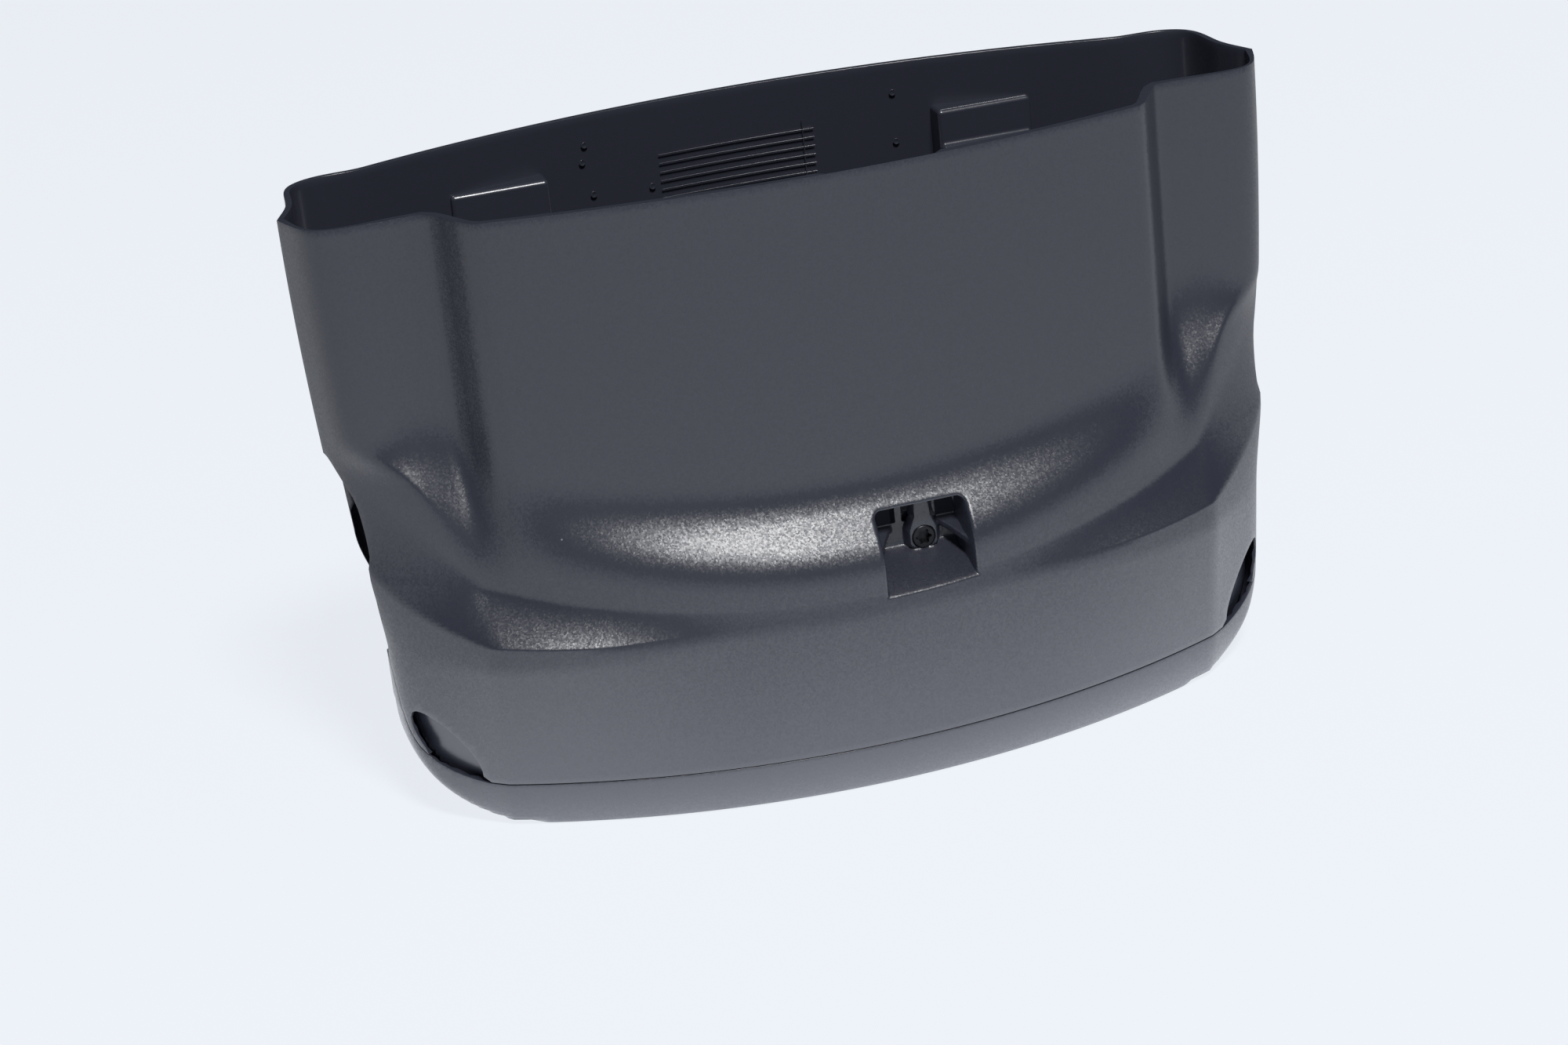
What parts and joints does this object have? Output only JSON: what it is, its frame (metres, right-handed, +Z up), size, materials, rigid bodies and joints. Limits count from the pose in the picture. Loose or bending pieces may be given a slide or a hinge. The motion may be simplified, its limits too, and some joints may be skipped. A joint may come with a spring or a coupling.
{
  "type": "moulded housing",
  "caption": "Open-topped moulded housing split into a waisted front shell and a rear shell with a base tray, with side openings and a screw recess.",
  "frame": {"origin": "bottom centre of the housing, on the floor it stands on, in the plane where the two shells part", "axes": "+X along the long side to the right seen from the front, -Y out of the front face, +Z up to the mouth"},
  "size_m": [0.236, 0.1009, 0.148],
  "materials": {
    "shell_plastic": "dark grey ABS, fine spark-eroded texture",
    "screw_steel": "black phosphated steel"
  },
  "bodies": {
    "root": {"front_shell": "shell_plastic", "rear_shell": "shell_plastic", "pocket_screw": "screw_steel"}
  },
  "joints": []
}
